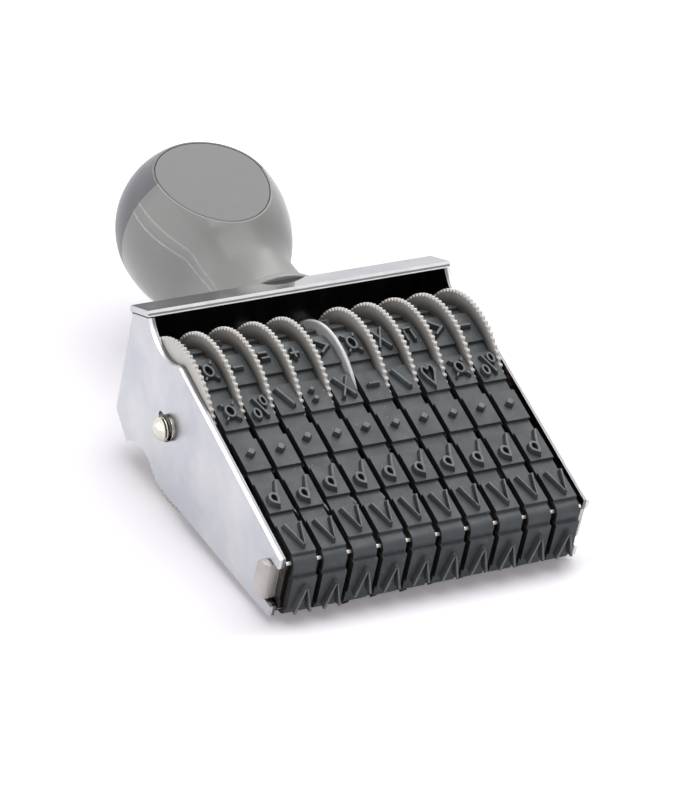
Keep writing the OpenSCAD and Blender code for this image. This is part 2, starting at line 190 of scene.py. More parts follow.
def map_range(tree, value, start, end, low=0.0, high=1.0, smooth=False):
    """Low up to the start, high from the end on, and a fade between them."""
    node = tree.nodes.new("ShaderNodeMapRange")
    if smooth:
        node.interpolation_type = "SMOOTHSTEP"
    feed(tree, node.inputs["Value"], value)
    feed(tree, node.inputs["From Min"], start)
    feed(tree, node.inputs["From Max"], end)
    feed(tree, node.inputs["To Min"], low)
    feed(tree, node.inputs["To Max"], high)
    return node.outputs["Result"]


def object_place(tree):
    """Place on the piece, in metres in the frame."""
    return tree.nodes.new("ShaderNodeTexCoord").outputs["Object"]


def object_axes(tree):
    axes = tree.nodes.new("ShaderNodeSeparateXYZ")
    tree.links.new(object_place(tree), axes.inputs[0])
    return axes.outputs


def distance_along(tree, direction):
    """How far a place on the piece lies along a direction, from the frame's origin."""
    node = tree.nodes.new("ShaderNodeVectorMath")
    node.operation = "DOT_PRODUCT"
    tree.links.new(object_place(tree), node.inputs[0])
    feed(tree, node.inputs[1], direction)
    return node.outputs["Value"]


def noise(tree, scale, detail=3.0):
    node = tree.nodes.new("ShaderNodeTexNoise")
    node.inputs["Detail"].default_value = detail
    node.inputs["Roughness"].default_value = 0.55
    feed(tree, node.inputs["Scale"], scale)
    tree.links.new(object_place(tree), node.inputs["Vector"])
    return node.outputs["Fac"]


# Node groups that several finishes share

def new_group(name, inputs, outputs):
    """A node group with its sockets, and the nodes that hold its inputs and outputs."""
    group = bpy.data.node_groups.new(name, "ShaderNodeTree")
    for label, kind, value in inputs:
        socket = group.interface.new_socket(label, in_out="INPUT", socket_type=kind)
        socket.default_value = value
    for label, kind in outputs:
        group.interface.new_socket(label, in_out="OUTPUT", socket_type=kind)
    start = group.nodes.new("NodeGroupInput")
    end = group.nodes.new("NodeGroupOutput")
    return group, start.outputs, end.inputs


def make_mottle_group():
    """Two colours drifting into each other over a few millimetres, with a mask of the same drift."""
    group, given, result = new_group(
        "mottle",
        [("Light Colour", "NodeSocketColor", (0.6, 0.6, 0.6, 1)),
         ("Dark Colour", "NodeSocketColor", (0.5, 0.5, 0.5, 1)),
         ("Scale", "NodeSocketFloat", 120.0)],
        [("Colour", "NodeSocketColor"), ("Mask", "NodeSocketFloat")],
    )
    drift = noise(group, given["Scale"])
    mask = map_range(group, drift, start=0.32, end=0.68)
    colour = mix_colour(group, mask, given["Dark Colour"], given["Light Colour"])
    group.links.new(colour, result["Colour"])
    group.links.new(mask, result["Mask"])
    return group


def make_skin_group():
    """Fine surface height: a moulded or rolled skin with a few small pits."""
    group, given, result = new_group(
        "fine_skin",
        [("Scale", "NodeSocketFloat", 2500.0), ("Pits", "NodeSocketFloat", 0.3)],
        [("Height", "NodeSocketFloat")],
    )
    fine = noise(group, given["Scale"], detail=2.0)
    coarse_scale = math_node(group, "MULTIPLY", given["Scale"], 0.22)
    coarse = noise(group, coarse_scale, detail=2.0)
    narrow_pits = math_node(group, "POWER", coarse, 3.0)
    pits = math_node(group, "MULTIPLY", narrow_pits, given["Pits"])
    group.links.new(math_node(group, "ADD", fine, pits), result["Height"])
    return group


def make_dust_group():
    """Small pale specks over a colour."""
    group, given, result = new_group(
        "dust",
        [("Colour", "NodeSocketColor", (0.1, 0.1, 0.1, 1)),
         ("Scale", "NodeSocketFloat", 1500.0),
         ("Strength", "NodeSocketFloat", 0.5)],
        [("Colour", "NodeSocketColor")],
    )
    speck_grey = (0.42, 0.43, 0.43, 1)
    grains = noise(group, given["Scale"], detail=1.0)
    specks = map_range(group, grains, start=0.73, end=0.79)
    mask = math_node(group, "MULTIPLY", specks, given["Strength"])
    dusty = mix_colour(group, mask, given["Colour"], speck_grey)
    group.links.new(dusty, result["Colour"])
    return group


def make_axle_ring_group():
    """A colour laid over another by the distance from the axle, the line that all wheels turn about."""
    group, given, result = new_group(
        "axle_ring",
        [("Colour", "NodeSocketColor", (0.6, 0.6, 0.6, 1)),
         ("Ring Colour", "NodeSocketColor", (0.1, 0.1, 0.1, 1)),
         ("Clear At", "NodeSocketFloat", 0.019),
         ("Full At", "NodeSocketFloat", 0.016)],
        [("Colour", "NodeSocketColor")],
    )
    axes = object_axes(group)
    y = math_node(group, "SUBTRACT", axes["Y"], AXLE_AT.y)
    z = math_node(group, "SUBTRACT", axes["Z"], AXLE_AT.z)
    y_squared = math_node(group, "MULTIPLY", y, y)
    z_squared = math_node(group, "MULTIPLY", z, z)
    distance = math_node(group, "SQRT", math_node(group, "ADD", y_squared, z_squared))
    mask = map_range(group, distance, given["Clear At"], given["Full At"], smooth=True)
    ringed = mix_colour(group, mask, given["Colour"], given["Ring Colour"])
    group.links.new(ringed, result["Colour"])
    return group


def make_torn_line_group():
    """A dull, slightly wandering line over a colour, where the sheet tore when it was cut.

    Through points through the sheet, and the line lies Torn At along it, on both sides of the origin.
    """
    group, given, result = new_group(
        "torn_line",
        [("Colour", "NodeSocketColor", (0.8, 0.8, 0.8, 1)),
         ("Through", "NodeSocketVector", (1, 0, 0)),
         ("Torn At", "NodeSocketFloat", 0.035),
         ("Width", "NodeSocketFloat", 0.0004)],
        [("Colour", "NodeSocketColor")],
    )
    wander_scale = 260
    torn_grey = (0.22, 0.22, 0.23, 1)
    across = math_node(group, "ABSOLUTE", distance_along(group, given["Through"]))
    half_width = math_node(group, "MULTIPLY", given["Width"], 0.5)
    wander = math_node(group, "MULTIPLY", noise(group, wander_scale), half_width)
    past_line = math_node(group, "SUBTRACT", math_node(group, "ADD", across, wander), given["Torn At"])
    off = math_node(group, "ABSOLUTE", past_line)
    mask = map_range(group, off, half_width, given["Width"], low=1.0, high=0.0)
    torn = mix_colour(group, mask, given["Colour"], torn_grey)
    group.links.new(torn, result["Colour"])
    return group


MOTTLE = make_mottle_group()
SKIN = make_skin_group()
DUST = make_dust_group()
AXLE_RING = make_axle_ring_group()
TORN_LINE = make_torn_line_group()


def place_group(tree, group, values):
    """Put a node group in a material's tree, with values for its inputs."""
    node = tree.nodes.new("ShaderNodeGroup")
    node.node_tree = group
    for label, value in values.items():
        feed(tree, node.inputs[label], value)
    return node.outputs


def lay_over(material, group, values):
    """Lay a node group's colour over whatever feeds a finish's base colour."""
    tree = material.node_tree
    base = tree.nodes["Principled BSDF"].inputs["Base Color"]
    layer = place_group(tree, group, {"Colour": base.links[0].from_socket, **values})
    tree.links.new(layer["Colour"], base)


def finish(name, light, dark, mottle_scale, roughness, spread, skin_scale, skin_depth,
           metallic=0.0, coat=0.0, specular=0.5, pits=0.3):
    """A finish of mottled colour, drifting gloss and a fine skin whose depth is in millimetres."""
    material = bpy.data.materials.new(name)
    material.use_nodes = True
    tree = material.node_tree
    surface = tree.nodes["Principled BSDF"]
    mottle = place_group(tree, MOTTLE, {
        "Light Colour": (*light, 1), "Dark Colour": (*dark, 1), "Scale": mottle_scale})
    tree.links.new(mottle["Colour"], surface.inputs["Base Color"])
    gloss = map_range(tree, mottle["Mask"], 0.0, 1.0, roughness + spread, roughness)
    tree.links.new(gloss, surface.inputs["Roughness"])
    skin = place_group(tree, SKIN, {"Scale": skin_scale, "Pits": pits})
    bump = tree.nodes.new("ShaderNodeBump")
    bump.inputs["Strength"].default_value = 1.0
    bump.inputs["Distance"].default_value = skin_depth * MM
    tree.links.new(skin["Height"], bump.inputs["Height"])
    tree.links.new(bump.outputs["Normal"], surface.inputs["Normal"])
    surface.inputs["Metallic"].default_value = metallic
    surface.inputs["Coat Weight"].default_value = coat
    surface.inputs["Coat Roughness"].default_value = 0.07
    surface.inputs["Specular IOR Level"].default_value = specular
    return material


# Finishes of the bent frame
LIP_THROUGH = laid_direction((0, -0.8706, 0.492))
LIP_END = LAID_DOWN @ Vector((0, -17.7, TOP_Z - 6.62))
PLATE_TORN_AT = INNER_HALF + 0.43

plated_sheet = finish(
    "plated_sheet", light=(0.74, 0.742, 0.75), dark=(0.60, 0.612, 0.665), mottle_scale=75,
    roughness=0.28, spread=0.08, skin_scale=1500, skin_depth=0.003, metallic=1.0)
# The lip and the top of the deck: smoother than the plates, and darker than them as a painted shade, though
# all is one sheet
shaded_lip_plating = finish(
    "shaded_lip_plating", light=(0.43, 0.43, 0.44), dark=(0.30, 0.30, 0.31), mottle_scale=90,
    roughness=0.05, spread=0.05, skin_scale=1500, skin_depth=0.0005, metallic=1.0)
# Near black on the frame's inner faces: painted shade, on the same sheet that is pale outside
shaded_inside_plating = finish(
    "shaded_inside_plating", light=(0.120, 0.110, 0.107), dark=(0.075, 0.068, 0.067), mottle_scale=60,
    roughness=0.26, spread=0.10, skin_scale=1200, skin_depth=0.001, metallic=1.0)


def cut_edge(name, through, torn_at, width):
    """The cut edge of the sheet: bright, with a dull line where the metal tore."""
    material = finish(
        name, light=(0.86, 0.86, 0.87), dark=(0.78, 0.78, 0.80), mottle_scale=300,
        roughness=0.24, spread=0.10, skin_scale=1500, skin_depth=0.003, metallic=1.0)
    lay_over(material, TORN_LINE, {"Through": through, "Torn At": torn_at, "Width": width * MM})
    return material


plated_cut = cut_edge("plated_cut", (1, 0, 0), PLATE_TORN_AT * MM, 0.46)
lip_cut = cut_edge("lip_cut", LIP_THROUGH, abs(LIP_THROUGH.dot(LIP_END)), 0.30)

# Finishes of the print bar: plating on the claws, a painted shade between the plates, where the bands leave
# little in the light, and a painted glint on its rounded corner
bar_plating = finish(
    "bar_plating", light=(0.62, 0.59, 0.565), dark=(0.52, 0.49, 0.465), mottle_scale=220,
    roughness=0.42, spread=0.12, skin_scale=1600, skin_depth=0.004, metallic=1.0)
bar_shade = finish(
    "bar_shade", light=(0.080, 0.070, 0.064), dark=(0.045, 0.040, 0.036), mottle_scale=220,
    roughness=0.24, spread=0.10, skin_scale=1600, skin_depth=0.004, metallic=1.0)
glinting_bar_corner = finish(
    "glinting_bar_corner", light=(0.97, 0.95, 0.91), dark=(0.90, 0.88, 0.83), mottle_scale=220,
    roughness=0.30, spread=0.10, skin_scale=1600, skin_depth=0.004, metallic=0.6)

# Finishes of the axle, its clips and the screws
axle_plating = finish(
    "axle_plating", light=(0.86, 0.84, 0.77), dark=(0.74, 0.71, 0.62), mottle_scale=300,
    roughness=0.16, spread=0.10, skin_scale=1500, skin_depth=0.003, metallic=1.0)
# Painted shade: near black on the floors of the axle's grooves and on its faces that look along it
groove_shade = finish(
    "groove_shade", light=(0.075, 0.065, 0.05), dark=(0.04, 0.035, 0.03), mottle_scale=400,
    roughness=0.24, spread=0.12, skin_scale=1500, skin_depth=0.003, metallic=1.0)
clip_steel = finish(
    "clip_steel", light=(0.15, 0.14, 0.11), dark=(0.08, 0.075, 0.06), mottle_scale=400,
    roughness=0.20, spread=0.10, skin_scale=1500, skin_depth=0.003, metallic=1.0)
screw_zinc = finish(
    "screw_zinc", light=(0.60, 0.60, 0.61), dark=(0.48, 0.48, 0.49), mottle_scale=400,
    roughness=0.28, spread=0.12, skin_scale=1500, skin_depth=0.003, metallic=1.0)

# Rubber of the bands: pads and webs; painted shade on the signs' slopes, in closed signs and on the bands'
# sides, which get little light; a painted highlight on the signs' crests
band_rubber = finish(
    "band_rubber", light=(0.079, 0.088, 0.092), dark=(0.055, 0.062, 0.066), mottle_scale=260,
    roughness=0.40, spread=0.12, skin_scale=2200, skin_depth=0.012, specular=0.45, pits=0.6)
shaded_slope_rubber = finish(
    "shaded_slope_rubber", light=(0.052, 0.057, 0.060), dark=(0.036, 0.040, 0.043), mottle_scale=420,
    roughness=0.46, spread=0.12, skin_scale=2200, skin_depth=0.010, specular=0.4, pits=0.6)
crest_highlight_rubber = finish(
    "crest_highlight_rubber", light=(0.205, 0.222, 0.228), dark=(0.145, 0.158, 0.164), mottle_scale=420,
    roughness=0.46, spread=0.12, skin_scale=2200, skin_depth=0.010, specular=0.45, pits=0.6)
rubber_in_shade = finish(
    "rubber_in_shade", light=(0.022, 0.022, 0.023), dark=(0.012, 0.012, 0.013), mottle_scale=260,
    roughness=0.55, spread=0.12, skin_scale=2200, skin_depth=0.010, specular=0.3, pits=0.6)
lay_over(band_rubber, DUST, {"Scale": 1500, "Strength": 0.45})
lay_over(crest_highlight_rubber, DUST, {"Scale": 1500, "Strength": 0.8})

# Plastic of the wheels, darker towards the drum as a painted shade and paler on the beads as a painted
# highlight, and of the plain disc
wheel_plastic = finish(
    "wheel_plastic", light=(0.62, 0.60, 0.555), dark=(0.54, 0.515, 0.47), mottle_scale=180,
    roughness=0.34, spread=0.10, skin_scale=1900, skin_depth=0.006)
# Painted shade: darker towards the drum, where the wheels shade each other
lay_over(wheel_plastic, AXLE_RING, {
    "Ring Colour": (0.135, 0.125, 0.11, 1), "Full At": 15.6 * MM, "Clear At": 19.0 * MM})
# Painted highlight: the beads of the rim paler
lay_over(wheel_plastic, AXLE_RING, {
    "Ring Colour": (0.84, 0.825, 0.78, 1), "Clear At": 18.6 * MM, "Full At": 19.0 * MM})
# wheel_01, whose face lies open at the side, takes a lighter copy without the rings: painted light
lit_end_wheel_plastic = finish(
    "lit_end_wheel_plastic", light=(0.74, 0.725, 0.68), dark=(0.68, 0.66, 0.61), mottle_scale=180,
    roughness=0.34, spread=0.10, skin_scale=1900, skin_depth=0.006)
disc_plastic = finish(
    "disc_plastic", light=(0.84, 0.84, 0.83), dark=(0.78, 0.78, 0.77), mottle_scale=160,
    roughness=0.16, spread=0.06, skin_scale=1500, skin_depth=0.002, coat=0.4)

# Finishes of the handle
handle_grey = finish(
    "handle_grey", light=(0.284, 0.284, 0.272), dark=(0.260, 0.260, 0.249), mottle_scale=40,
    roughness=0.34, spread=0.04, skin_scale=2600, skin_depth=0.002, coat=0.8)
cap_dark = finish(
    "cap_dark", light=(0.155, 0.152, 0.170), dark=(0.134, 0.132, 0.148), mottle_scale=60,
    roughness=0.36, spread=0.08, skin_scale=2600, skin_depth=0.003, coat=0.3)
badge_grey = finish(
    "badge_grey", light=(0.208, 0.210, 0.206), dark=(0.195, 0.197, 0.193), mottle_scale=90,
    roughness=0.30, spread=0.06, skin_scale=3000, skin_depth=0.002)


def dull_neck(material):
    """Fade the polish out on the neck and the foot, from left of the middle to the right."""
    dull_coat = 0.06
    tree = material.node_tree
    coat = tree.nodes["Principled BSDF"].inputs["Coat Weight"]
    sideways = map_range(tree, object_axes(tree)["X"], -11 * MM, -3 * MM, smooth=True)
    up = laid_direction((0, 0, 1))
    deck = up.dot(LAID_DOWN @ Vector((0, 0, TOP_Z)))
    near_foot = map_range(
        tree, distance_along(tree, up), deck + 18 * MM, deck + 30 * MM, low=1.0, high=0.0, smooth=True)
    dulled = math_node(tree, "MULTIPLY", sideways, near_foot)
    tree.links.new(map_range(tree, dulled, 0.0, 1.0, coat.default_value, dull_coat), coat)


dull_neck(handle_grey)

# Signs on the bands. A sign is drawn as it reads with the handle at the top, X across and Y along the
# band, inside 4.4 by 7.5. It is a list of strokes, each with its points and its kind.

def oval(cx, cy, rx, ry, steps=12):
    turns = [math.radians(360 * k / steps) for k in range(steps)]
    return [(cx + rx * math.cos(turn), cy + ry * math.sin(turn)) for turn in turns]


def line(*points):
    return list(points), "open"


def loop(points):
    return points, "closed"


def dot(cx, cy, r):
    """A small diamond, as its middle and its right corner."""
    return [(cx, cy), (cx + r, cy)], "dot"


PERCENT = [loop(oval(-1.3, -1.6, 0.66, 1.25)), loop(oval(1.3, 1.5, 0.66, 1.25)),
           line((-0.75, 2.9), (1.0, -2.9))]
SLASH = [line((-1.65, 2.8), (0.9, -2.9))]
COLON = [dot(-0.6, 1.1, 0.62), dot(-0.7, -1.5, 0.62)]
TIMES = [line((-1.85, 3.0), (1.65, -2.9)), line((1.65, 3.0), (-1.5, -3.0))]
MINUS = [line((-1.8, -0.15), (1.3, -0.1))]
PLUS = [line((-1.5, -0.2), (1.3, -0.2)), line((0.0, 1.6), (-0.1, -1.8))]
EQUALS = [line((-1.6, 0.7), (1.2, 0.7)), line((-1.4, -0.6), (1.3, -0.6))]
GREATER = [line((-1.3, 1.9), (1.2, 0.1), (-1.2, -1.8))]
GATE = [line((-1.4, 1.5), (1.4, 1.6)), line((-0.8, 1.4), (-1.0, -2.1)), line((0.8, 1.4), (0.9, -1.9))]
COIN = [loop(oval(0.0, 0.1, 1.0, 1.45)),
        line((-1.75, 2.7), (-0.85, 1.4)), line((1.75, 2.7), (0.85, 1.4)),
        line((-1.75, -2.5), (-0.85, -1.2)), line((1.75, -2.5), (0.85, -1.2))]
HEART = [loop([(-0.6, -3.1), (-1.55, -1.1), (-2.05, 0.7), (-1.75, 1.95), (-1.15, 2.1), (-0.6, 1.3),
               (-0.05, 2.2), (0.6, 2.3), (0.95, 1.3), (0.75, 0.2), (0.1, -1.4)])]
DIAMOND = [dot(-0.2, 0.2, 0.9)]
NINE = [loop([(-1.65, -1.15), (-1.4, -0.35), (-0.78, 0.0), (-0.1, -0.25), (0.2, -0.95), (0.1, -1.75),
              (-0.3, -2.75), (-0.9, -2.4), (-1.45, -1.9)]),
        line((0.0, -1.6), (0.7, 1.0), (1.7, 3.6))]
VALLEY = [line((-1.6, 3.5), (0.35, -3.0)), line((2.2, 3.5), (0.42, -3.0))]
PEAK = [line((0.2, 2.4), (-1.35, -3.9)), line((0.4, 2.4), (2.0, -3.9))]
SEVEN = [line((-1.6, 2.9), (0.7, 2.6)), line((0.8, 2.6), (0.2, -0.4), (-0.7, -3.2))]
CHAIR = [line((-0.9, 3.2), (-0.7, -2.6)), line((-0.7, -0.7), (0.8, -0.4), (1.2, -1.5), (0.6, -2.6))]
COMB = [line((-0.9, 3.2), (-0.9, -2.9)),
        line((-0.9, -1.1), (0.0, -0.9), (0.1, -2.3), (0.2, -1.0), (1.2, -1.1), (1.3, -2.6))]
STOOL = [line((-0.8, 3.2), (-0.8, -2.9)), line((-0.8, -1.0), (0.7, -0.8), (1.1, -2.6))]
CANE = [line((0.2, 3.2), (0.1, -1.2), (-0.6, -3.1))]

# Signs that all bands share, by cell: up to 3 on the run that faces up, 0 on the print face and the
# others up the run below
SHARED_SIGNS = {3: DIAMOND, 2: NINE, 1: VALLEY, 0: PEAK, -1: SEVEN, -2: HEART, -3: CHAIR, -4: COMB,
                -5: STOOL, -6: CANE}

# Signs of each band from the cell FIRST_OWN on, up to the drum and over it
FIRST_OWN = 4
OWN_SIGNS = [
    (COIN, COIN, PLUS, EQUALS), (PERCENT, MINUS, SLASH, PLUS), (SLASH, EQUALS, COLON, MINUS),
    (COLON, PLUS, PERCENT, TIMES), (TIMES, GREATER, SLASH, COLON), (MINUS, COIN, PLUS, SLASH),
    (SLASH, TIMES, MINUS, EQUALS), (HEART, GATE, EQUALS, PLUS), (COIN, GREATER, SLASH, MINUS),
    (PERCENT, MINUS, COLON, TIMES),
]

# Signs with slender strokes, as they have many strokes or close
SLENDER_SIGNS = (PERCENT, COIN, HEART, GATE)

# How a stroke is shaped
CREST_ROUND = 0.06  # half the width of the slanted corner of a crest
CREST_DROP = 0.1  # and its height
SLENDER_TALL = TYPE_TALL - 0.1
BROAD_TALL = TYPE_TALL + 0.1
HAIR = 0.015  # the second of two strokes is this much lower, so that their crests don't coincide
FLOOR_HALF = 0.06  # half the thickness of the dark floor in a closed sign, a painted shade
END_REACH = 0.75  # how much of a stroke its sloped end takes in
END_LEAN = 0.36  # how far the crest leans in there
LOW_END = -3.6  # only the peak's feet on the print face lie lower, and their crests lean out
LOW_END_LEAN = -0.55
FREE_PINCH = 0.85  # how wide an end stays, alone or where two strokes meet
SHARED_PINCH = 0.4
MEETING = 0.3  # ends that lie closer than this meet
DOT_FLARE = 0.35  # how much wider the foot of a dot is than its top
DOT_ROUND = 0.06
CREST_DEPTH = 0.25  # faces that lie whole in this depth below the plain crest take the painted highlight
SINK = 0.02  # how deep a sign's foot lies in its pad
SIGN_SMOOTH_ANGLE = 35


def loop_place(s, e):
    """Y and Z of the point s along the band from the middle of the print face, e over its inner face."""
    side = -1 if s >= 0 else 1
    a = abs(s)
    if a < EDGE_Y:
        return side * a, BAR_Z - e
    if a < RUN_START:
        turn = (a - EDGE_Y) / EDGE_R
        return side * (EDGE_Y + (EDGE_R + e) * math.sin(turn)), EDGE_Z - (EDGE_R + e) * math.cos(turn)
    if a < RUN_END:
        t = a - RUN_START
        out = EDGE_R + e
        y = EDGE_Y + out * math.cos(RUN_LEAN) + t * math.sin(RUN_LEAN)
        z = EDGE_Z - out * math.sin(RUN_LEAN) + t * math.cos(RUN_LEAN)
        return side * y, z
    turn = (a - RUN_END) / LINE_R - RUN_LEAN
    return side * (LINE_R + e) * math.cos(turn), AXLE_H + (LINE_R + e) * math.sin(turn)


def flat_curve(name, points, closed=False):
    curve = bpy.data.curves.new(name, "CURVE")
    curve.dimensions = "2D"
    spline = curve.splines.new("POLY")
    spline.points.add(len(points) - 1)
    for point, (x, y) in zip(spline.points, points):
        point.co = (x, y, 0, 1)
    spline.use_cyclic_u = closed
    return curve


def ridge_profile(foot, crest, tall):
    """Cross-section of a raised stroke, by its half widths: sloping sides and a narrow flat crest."""
    shoulder = tall - CREST_DROP
    corners = [(-foot, 0.0), (-crest - CREST_ROUND, shoulder), (-crest + CREST_ROUND, tall),
               (crest - CREST_ROUND, tall), (crest + CREST_ROUND, shoulder), (foot, 0.0)]
    return put_in_scene("stroke_section", flat_curve("stroke_section", corners))


def stroke_mesh(points, closed, section):
    """Sweep a section along the stroke's points."""
    curve = flat_curve("stroke", points, closed)
    curve.fill_mode = "NONE"
    curve.bevel_mode = "OBJECT"
    curve.bevel_object = section
    curve.use_fill_caps = True
    holder = put_in_scene("stroke", curve)
    bpy.context.view_layer.update()
    graph = bpy.context.evaluated_depsgraph_get()
    mesh = bpy.data.meshes.new_from_object(holder.evaluated_get(graph))
    bpy.data.objects.remove(holder)
    bpy.data.curves.remove(curve)
    return mesh


def is_inside(outline, place):
    """Whether a place lies within a closed outline."""
    within = False
    for (x0, y0), (x1, y1) in zip(outline, outline[1:] + outline[:1]):
        if (y0 > place.y) != (y1 > place.y) and place.x < x0 + (place.y - y0) * (x1 - x0) / (y1 - y0):
            within = not within
    return within


def add_sign_floor(bm, outline):
    """Fill a closed sign with a thin plate that stands a little over the pad, to carry its painted shade."""
    top = bm.faces.new([bm.verts.new((x, y, FLOOR_HALF)) for x, y in outline])
    grown = bmesh.ops.extrude_face_region(bm, geom=[top])["geom"]
    low = [item for item in grown if isinstance(item, bmesh.types.BMVert)]
    bmesh.ops.translate(bm, verts=low, vec=Vector((0, 0, -2 * FLOOR_HALF)))


def slope_end(bm, end, inner, pinch):
    """Lean the end of an open stroke, as the end of a moulded stroke leans, and narrow it."""
    end = Vector(end)
    away = (Vector(inner) - end).normalized()
    lean = END_LEAN if end.y > LOW_END else LOW_END_LEAN
    for vert in bm.verts:
        out = Vector(vert.co.xy) - end
        if out.length < END_REACH:
            along = out.dot(away)
            side = (out - away * along) * pinch
            on_the_pad = vert.co.z < 0.01
            if not on_the_pad:
                along += lean
            vert.co.xy = end + away * along + side


def shared_end(strokes, point):
    """Whether another stroke ends at the same point."""
    ends = [p for points, kind in strokes if kind == "open" for p in (points[0], points[-1])]
    return sum((Vector(p) - Vector(point)).length < MEETING for p in ends) > 1


def dot_bmesh(middle, corner):
    """A small diamond with sloping sides and broken edges."""
    radius = corner[0] - middle[0]
    bm = bmesh.new()
    bmesh.ops.create_cone(
        bm, cap_ends=True, segments=4, radius1=radius + DOT_FLARE, radius2=radius, depth=TYPE_TALL)
    bmesh.ops.bevel(
        bm, geom=list(bm.edges), offset=DOT_ROUND, segments=2, affect="EDGES", profile=0.5, material=-1)
    bmesh.ops.translate(bm, verts=bm.verts, vec=Vector((*middle, TYPE_TALL / 2)))
    return bm


def stroke_bmesh(points, closed, section, strokes):
    """One swept stroke of a sign, with a floor if it closes and sloped ends if it doesn't."""
    mesh = stroke_mesh(points, closed, section)
    bm = bmesh.new()
    bm.from_mesh(mesh)
    bpy.data.meshes.remove(mesh)
    bmesh.ops.remove_doubles(bm, verts=bm.verts, dist=1e-4)
    if closed:
        add_sign_floor(bm, points)
        return bm
    for end, inner in ((points[0], points[1]), (points[-1], points[-2])):
        slope_end(bm, end, inner, SHARED_PINCH if shared_end(strokes, end) else FREE_PINCH)
    return bm


def sign_bmesh(strokes, sections):
    """A whole sign, flat. Crests take the second finish, a painted highlight, and what a closed stroke holds
    the third, a painted shade.
    """
    bm = bmesh.new()
    for order, (points, kind) in enumerate(strokes):
        closed = kind == "closed"
        if kind == "dot":
            part = dot_bmesh(*points)
        else:
            part = stroke_bmesh(points, closed, sections[order % 2], strokes)
        bmesh.ops.recalc_face_normals(part, faces=part.faces)
        for face in part.faces:
            if min(vert.co.z for vert in face.verts) > TYPE_TALL - CREST_DEPTH:
                face.material_index = 1
            elif closed and is_inside(points, face.calc_center_median()):
                face.material_index = 2
        join(bm, part)
    return bm


def stroke_weight(strokes):
    if strokes in SLENDER_SIGNS:
        return "slender"
    if strokes is PEAK:
        return "broad"
    return "plain"


def add_signs(number, sections):
    """All the raised signs of one band, bent round its loop."""
    x = (number - (BAND_COUNT + 1) / 2) * BAND_PITCH
    cells = dict(SHARED_SIGNS)
    cells.update(enumerate(OWN_SIGNS[number - 1], FIRST_OWN))
    whole = bmesh.new()
    for cell, strokes in cells.items():
        sign = sign_bmesh(strokes, sections[stroke_weight(strokes)])
        middle = cell * CELL_LEN + CREEP[number - 1]
        for vert in sign.verts:
            y, z = loop_place(middle + vert.co.y, PAD_TOP - SINK + vert.co.z)
            vert.co = (x + vert.co.x, y, z)
        bmesh.ops.recalc_face_normals(sign, faces=sign.faces)
        join(whole, sign)
    whole.transform(LAID_DOWN)
    finishes = (shaded_slope_rubber, crest_highlight_rubber, rubber_in_shade)
    piece = make_piece("signs_%02d" % number, whole, finishes, SIGN_SMOOTH_ANGLE)
    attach(piece, BODY)


stroke_sections = {
    "plain": (ridge_profile(0.60, 0.22, TYPE_TALL), ridge_profile(0.58, 0.20, TYPE_TALL - HAIR)),
    "slender": (ridge_profile(0.44, 0.17, SLENDER_TALL), ridge_profile(0.42, 0.155, SLENDER_TALL - HAIR)),
    "broad": (ridge_profile(0.72, 0.30, BROAD_TALL), ridge_profile(0.70, 0.28, BROAD_TALL - HAIR)),
}
for number in range(1, BAND_COUNT + 1):
    add_signs(number, stroke_sections)
for pair in stroke_sections.values():
    for section in pair:
        section_curve = section.data
        bpy.data.objects.remove(section)
        bpy.data.curves.remove(section_curve)


# Tests of which faces take a further finish. Each is given the middle of a face and the direction
# that it faces, in the upright stamp.

def runs_across(middle):
    """Whether a face reaches as far to the left as to the right, as on the deck and the lips."""
    return abs(middle.x) < 1


def faces_inwards(middle, outward):
    """Whether a face of the bent sheet looks into the space that holds the bands."""
    among_the_wheels = Vector((0, 0, TOP_Z - 15))
    towards_them = outward.dot((among_the_wheels - middle).normalized()) > 0.3
    return abs(middle.x) < INNER_HALF + 0.1 and middle.z < TOP_Z + 0.1 and towards_them


def on_a_lip(middle, outward):
    """Whether a face is the outer side of a bent lip, or the top of the deck."""
    on_the_slope = abs(outward.y) > 0.8 and outward.z > 0.3
    on_the_deck = outward.z > 0.99
    return runs_across(middle) and (on_the_slope or on_the_deck)


def is_cut_edge(middle, outward):
    """Whether a face is the sheared edge of a side plate."""
    within_the_sheet = abs(middle.x) > INNER_HALF + 0.3
    square_to_it = abs(outward.x) < 0.05
    return within_the_sheet and square_to_it and middle.z < TOP_Z


def is_lip_end(middle, outward):
    """Whether a face is the sheared end of a lip."""
    well_below_the_deck = middle.z < TOP_Z - 4
    return runs_across(middle) and outward.z < -0.8 and well_below_the_deck


def is_shaded_bar(middle, outward):
    """Whether a face of the print bar lies between the plates."""
    return abs(middle.x) < INNER_HALF


def is_bar_corner(middle, outward):
    """Whether a face belongs to the rounded corner that the bands run over."""
    clear_of_the_plates = abs(middle.x) < INNER_HALF - 1
    return clear_of_the_plates and abs(outward.y) > 0.3 and outward.z < -0.3


def is_groove(middle, outward):
    """Whether a face of the axle is the floor of one of its grooves, or faces along the axle."""
    out = math.hypot(middle.y, middle.z - AXLE_H)
    groove_floor = out < 2.45 and abs(outward.x) < 0.1
    groove_side = out > 1.9 and abs(outward.x) > 0.99
    return groove_floor or groove_side


def is_band_side(middle, outward):
    """Whether a face is a side of a band, which looks at its neighbour."""
    return abs(outward.x) > 0.9


